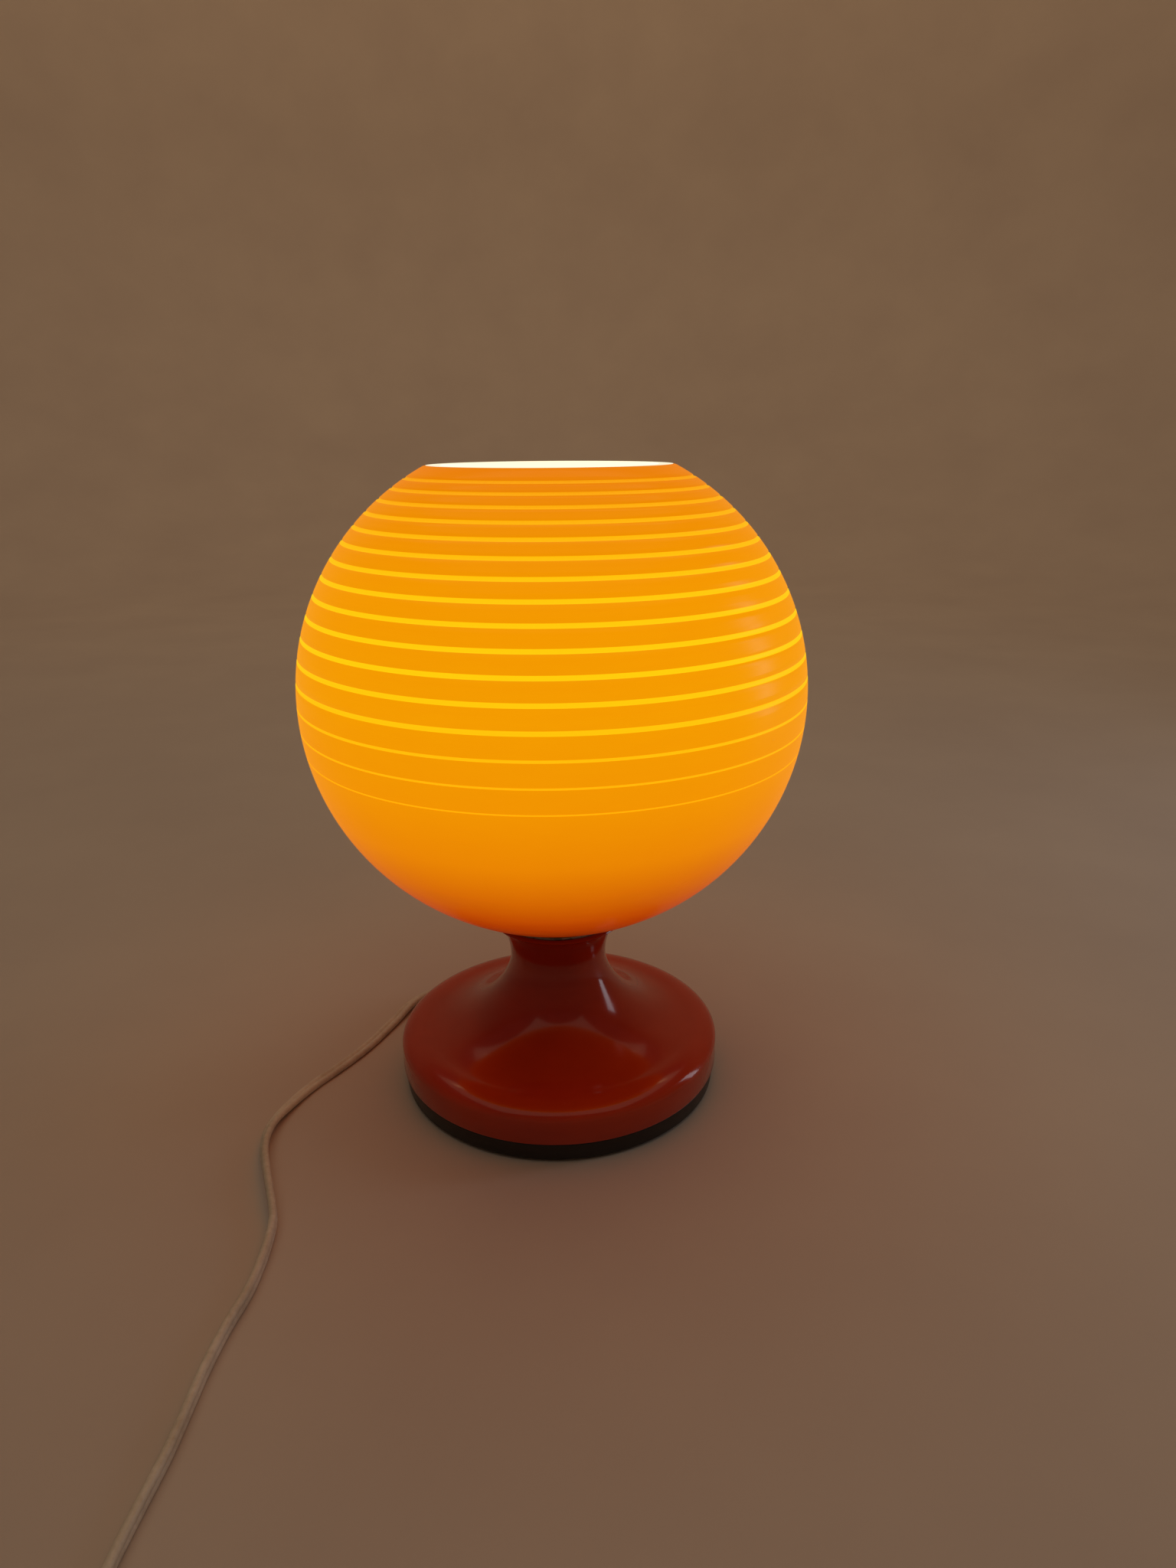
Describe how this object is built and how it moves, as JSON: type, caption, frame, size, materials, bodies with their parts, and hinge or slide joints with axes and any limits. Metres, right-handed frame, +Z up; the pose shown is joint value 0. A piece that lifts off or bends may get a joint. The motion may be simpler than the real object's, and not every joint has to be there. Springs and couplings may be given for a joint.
{
  "type": "table lamp",
  "caption": "Globe table lamp: line-cut orange glass shade with an open top on a waisted glossy glass foot, with flex, in-line switch and flat plug.",
  "frame": {"origin": "centre of the foot on the surface it stands on", "axes": "+Z up along the axis of the globe; -Y is the front; the flex leaves at the rear left and runs to -Y"},
  "size_m": [0.2324, 0.4666, 0.2743],
  "materials": {
    "amber_glass": "cased amber glass over opal, glossy, lit from inside",
    "coral_glass": "glossy coral-orange cased glass",
    "black_plastic": "moulded black phenolic, satin gloss",
    "rubber": "soft grey rubber",
    "zinc_steel": "zinc-plated steel",
    "brass": "plain brass",
    "ivory_plastic": "ivory thermoplastic",
    "porcelain": "glazed ceramic",
    "bulb_glass": "pearl bulb glass, lit",
    "black_glass": "black vitrite",
    "stem_glass": "clear glass",
    "tungsten": "coiled tungsten wire",
    "brown_pvc": "brown core insulation",
    "blue_pvc": "blue core insulation",
    "white_pvc": "white PVC flex, slightly glossy",
    "white_plastic": "moulded white plastic",
    "grey_plastic": "moulded light grey plastic",
    "nickel": "nickel-plated brass"
  },
  "bodies": {
    "lamp": {"base_body": "coral_glass", "foot_ring": "black_plastic", "foot_pads": "rubber", "bottom_plate": "zinc_steel", "threaded_tube": "zinc_steel", "tube_washers": "zinc_steel", "tube_nuts": "brass", "seat_disc": "zinc_steel", "lower_gasket": "rubber", "holder_cap": "ivory_plastic", "holder_skirt": "ivory_plastic", "holder_insert": "porcelain", "holder_shell": "brass", "centre_contact": "brass", "terminal_blocks": "brass", "terminal_screws": "zinc_steel", "core_brown": "brown_pvc", "core_blue": "blue_pvc", "cord_grip": "black_plastic", "grip_screws": "zinc_steel", "cord_bush": "black_plastic", "flex_inside": "white_pvc", "flex_lamp_side": "white_pvc", "switch_base": "white_plastic", "switch_cover": "white_plastic", "rocker_pin": "zinc_steel", "switch_contacts": "brass", "switch_screws": "zinc_steel", "flex_plug_side": "white_pvc", "flex_coil": "white_pvc", "coil_tie": "black_plastic", "flex_tail": "white_pvc", "plug_body": "white_plastic", "plug_pins": "nickel"},
    "shade": {"shade": "amber_glass"},
    "clamp_gasket": {"upper_gasket": "rubber"},
    "clamp_ring": {"shade_ring": "ivory_plastic"},
    "bulb": {"bulb_glass": "bulb_glass", "bulb_cap": "zinc_steel", "bulb_insulator": "black_glass", "bulb_contact": "zinc_steel", "bulb_stem": "stem_glass", "bulb_leads": "zinc_steel", "bulb_filament": "tungsten"},
    "rocker": {"switch_rocker": "grey_plastic"}
  },
  "joints": [
    {"name": "shade_lift", "type": "slide", "parent": "lamp", "child": "shade", "axis": [0, 0, 1], "range_m": [0, 0.12]},
    {"name": "gasket_rise", "type": "slide", "parent": "shade", "child": "clamp_gasket", "axis": [0, 0, 1], "range_m": [0, 0.0101]},
    {"name": "ring_turn", "type": "hinge", "parent": "clamp_gasket", "child": "clamp_ring", "pos_m": [0, 0, 0.092], "axis": [0, 0, 1], "range_deg": [0, 1440]},
    {"name": "bulb_lift", "type": "slide", "parent": "shade", "child": "bulb", "axis": [0, 0, 1], "range_m": [0, 0.18]},
    {"name": "switch_rock", "type": "hinge", "parent": "lamp", "child": "rocker", "pos_m": [-0.047, -0.281, 0.0146], "axis": [0, 1, 0], "range_deg": [0, 16]}
  ],
  "couplings": [
    {"joint": "gasket_rise", "follows": "ring_turn", "m_per_rad": 0.00039789}
  ]
}
